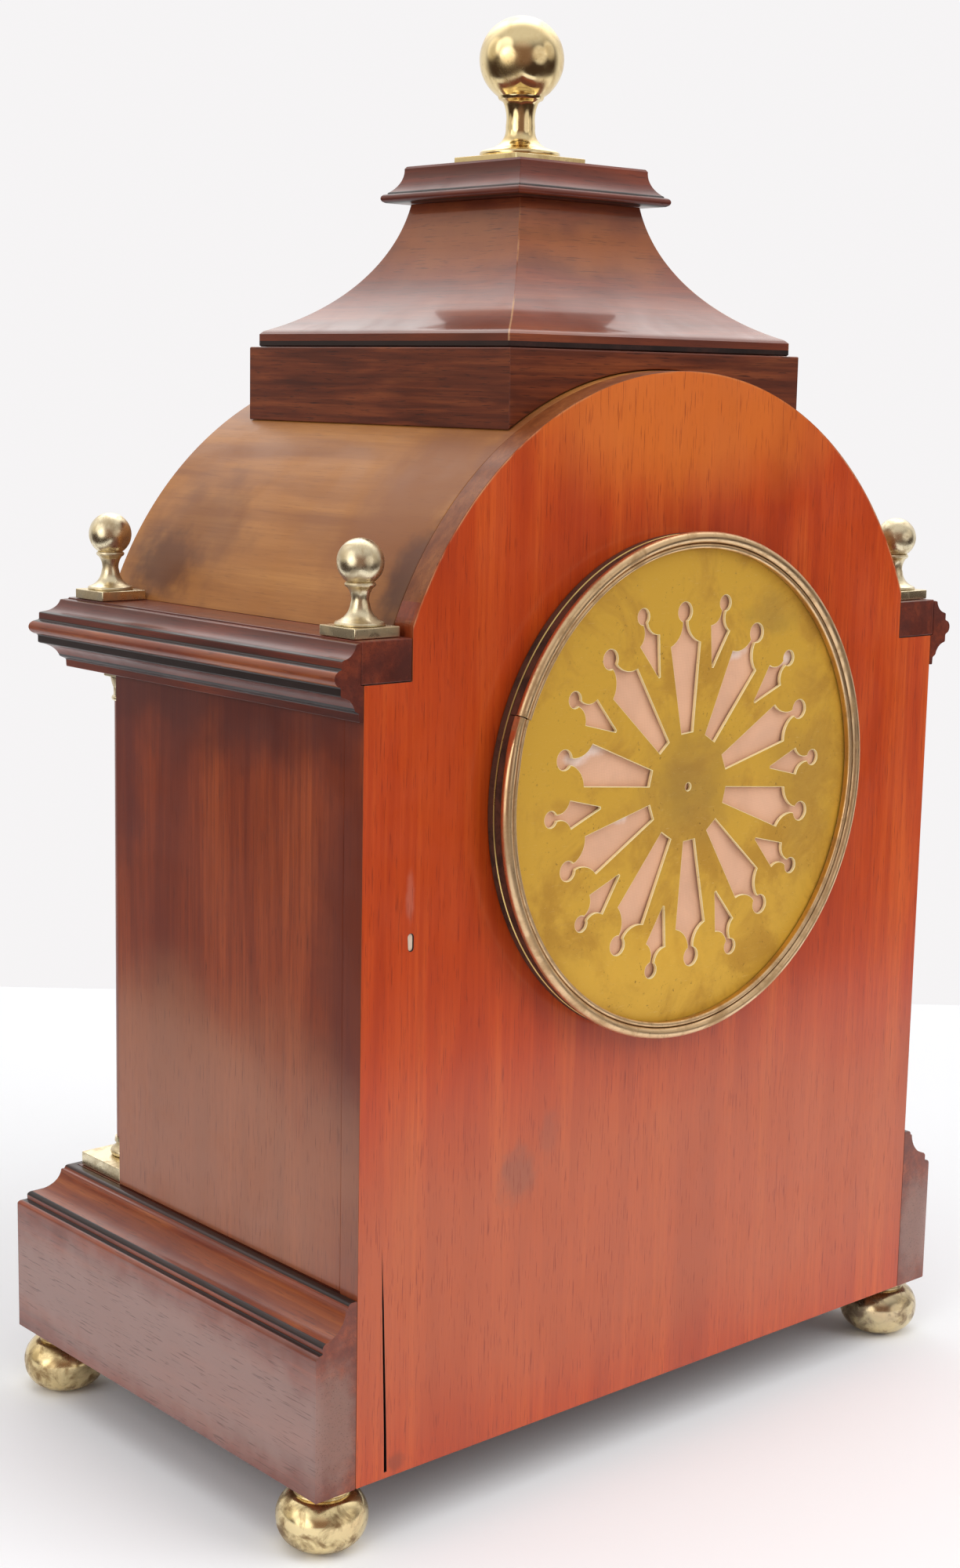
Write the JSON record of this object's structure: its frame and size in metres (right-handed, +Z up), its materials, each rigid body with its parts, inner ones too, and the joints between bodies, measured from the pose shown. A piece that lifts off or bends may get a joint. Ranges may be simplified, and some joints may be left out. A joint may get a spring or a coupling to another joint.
{
  "type": "bracket clock",
  "caption": "Arched mahogany bracket clock with a caddy top, brass ball finials and feet, columns, and round dial and pierced rear doors on a striking pendulum movement.",
  "frame": {"origin": "on the plane that the feet stand on, at the middle of the clock's bounding box", "axes": "+Z up; -Y is the dial side and +Y the side of the pierced rear door; +X is on the right when the dial is read"},
  "size_m": [0.2736, 0.1714, 0.4385],
  "materials": {
    "back_mahogany": "French polished, orange-red, fine upright grain",
    "dark_mahogany": "French polished, dark red-brown",
    "vault_mahogany": "French polished, faded tan-brown",
    "polished_brass": "polished",
    "aged_brass": "aged, spotted, satin",
    "bright_steel": "bright",
    "blued_steel": "heat-blued",
    "silvered_brass": "silvered, matt",
    "bell_metal": "turned",
    "clear_glass": "bevelled, polished",
    "pink_silk": "faded silk backing"
  },
  "bodies": {
    "case": {"back_panel": "back_mahogany", "vault_roof": "vault_mahogany", "base_board": "dark_mahogany", "plinth_front": "dark_mahogany", "front_panel": "dark_mahogany", "caddy_box": "dark_mahogany", "caddy_roof": "dark_mahogany", "caddy_cap": "dark_mahogany", "plinth_side_left": "dark_mahogany", "plinth_side_right": "dark_mahogany", "side_panel_left": "dark_mahogany", "side_panel_right": "dark_mahogany", "corner_post_left": "dark_mahogany", "corner_post_right": "dark_mahogany", "shoulder_left": "dark_mahogany", "shoulder_right": "dark_mahogany", "cornice_left": "dark_mahogany", "cornice_right": "dark_mahogany", "column_shaft_left": "dark_mahogany", "column_shaft_right": "dark_mahogany", "top_finial": "polished_brass", "dial_ring": "polished_brass", "finial_front_left": "polished_brass", "finial_front_right": "polished_brass", "finial_back_left": "polished_brass", "finial_back_right": "polished_brass", "foot_front_left": "polished_brass", "foot_front_right": "polished_brass", "foot_back_left": "polished_brass", "foot_back_right": "polished_brass", "column_base_left": "polished_brass", "column_base_right": "polished_brass", "column_capital_left": "polished_brass", "column_capital_right": "polished_brass", "rear_ring": "aged_brass", "movement_front_plate": "aged_brass", "movement_back_plate": "aged_brass", "suspension_cock": "aged_brass", "rear_hinge_pin": "bright_steel", "front_hinge_pin": "bright_steel", "dial": "silvered_brass", "bell": "bell_metal"},
    "rear_door": {"rear_door_rim": "aged_brass", "rear_door_plate": "aged_brass", "rear_door_lining": "pink_silk"},
    "front_door": {"front_door_rim": "polished_brass", "front_glass": "clear_glass"},
    "going_barrel_body": {"going_barrel": "aged_brass"},
    "strike_barrel_body": {"strike_barrel": "aged_brass"},
    "going_arbor_body": {"going_arbor": "bright_steel"},
    "strike_arbor_body": {"strike_arbor": "bright_steel"},
    "intermediate_wheel_body": {"intermediate_wheel": "aged_brass"},
    "centre_wheel_body": {"centre_wheel": "aged_brass", "minute_hand": "blued_steel"},
    "hour_hand_body": {"hour_hand": "blued_steel"},
    "third_wheel_body": {"third_wheel": "aged_brass"},
    "escape_wheel_body": {"escape_wheel": "aged_brass"},
    "anchor_body": {"anchor": "bright_steel"},
    "pendulum_body": {"pendulum": "polished_brass"},
    "hammer_body": {"hammer": "bright_steel"}
  },
  "joints": [
    {"name": "rear_door_hinge", "type": "hinge", "parent": "case", "child": "rear_door", "pos_m": [-0.0783, 0.0797, 0.209], "axis": [0, 0, 1], "range_deg": [0, 110]},
    {"name": "front_door_hinge", "type": "hinge", "parent": "case", "child": "front_door", "pos_m": [0.0837, -0.0719, 0.209], "axis": [0, 0, 1], "range_deg": [0, 100]},
    {"name": "third_wheel_spin", "type": "hinge", "parent": "case", "child": "third_wheel_body", "pos_m": [-0.00779, -0.06895, 0.22366], "axis": [0, 1, 0], "continuous": true},
    {"name": "centre_arbor_spin", "type": "hinge", "parent": "case", "child": "centre_wheel_body", "pos_m": [0, -0.06895, 0.209], "axis": [0, 1, 0], "continuous": true},
    {"name": "hour_hand_spin", "type": "hinge", "parent": "case", "child": "hour_hand_body", "pos_m": [0, -0.06895, 0.209], "axis": [0, 1, 0], "continuous": true},
    {"name": "intermediate_wheel_spin", "type": "hinge", "parent": "case", "child": "intermediate_wheel_body", "pos_m": [0.01749, -0.06895, 0.20952], "axis": [0, 1, 0], "continuous": true},
    {"name": "going_barrel_spin", "type": "hinge", "parent": "case", "child": "going_barrel_body", "pos_m": [0.0215, -0.06895, 0.187], "axis": [0, 1, 0], "continuous": true},
    {"name": "escape_wheel_spin", "type": "hinge", "parent": "case", "child": "escape_wheel_body", "pos_m": [0, -0.06895, 0.23577], "axis": [0, 1, 0], "continuous": true},
    {"name": "strike_barrel_spin", "type": "hinge", "parent": "case", "child": "strike_barrel_body", "pos_m": [-0.0215, -0.06895, 0.187], "axis": [0, 1, 0], "continuous": true},
    {"name": "going_winding", "type": "hinge", "parent": "case", "child": "going_arbor_body", "pos_m": [0.0215, -0.06895, 0.187], "axis": [0, 1, 0], "continuous": true},
    {"name": "strike_winding", "type": "hinge", "parent": "case", "child": "strike_arbor_body", "pos_m": [-0.0215, -0.06895, 0.187], "axis": [0, 1, 0], "continuous": true},
    {"name": "pendulum_swing", "type": "hinge", "parent": "case", "child": "pendulum_body", "pos_m": [0, -0.06895, 0.25127], "axis": [0, 1, 0], "range_deg": [-3, 3]},
    {"name": "anchor_rock", "type": "hinge", "parent": "case", "child": "anchor_body", "pos_m": [0, -0.06895, 0.24767], "axis": [0, 1, 0], "range_deg": [-3.5, 3.5]},
    {"name": "hammer_lift", "type": "hinge", "parent": "case", "child": "hammer_body", "pos_m": [0.034, -0.06895, 0.233], "axis": [0, -1, 0], "range_deg": [0, 25], "stiffness_Nm_per_rad": 0.004, "springref_deg": -11.46}
  ],
  "couplings": [
    {"joint": "hour_hand_spin", "follows": "centre_arbor_spin", "ratio": 0.083333},
    {"joint": "intermediate_wheel_spin", "follows": "centre_arbor_spin", "ratio": -0.16667},
    {"joint": "going_barrel_spin", "follows": "centre_arbor_spin", "ratio": 0.027778},
    {"joint": "third_wheel_spin", "follows": "centre_arbor_spin", "ratio": -12},
    {"joint": "escape_wheel_spin", "follows": "centre_arbor_spin", "ratio": 132},
    {"joint": "anchor_rock", "follows": "pendulum_swing", "ratio": 1.11}
  ]
}
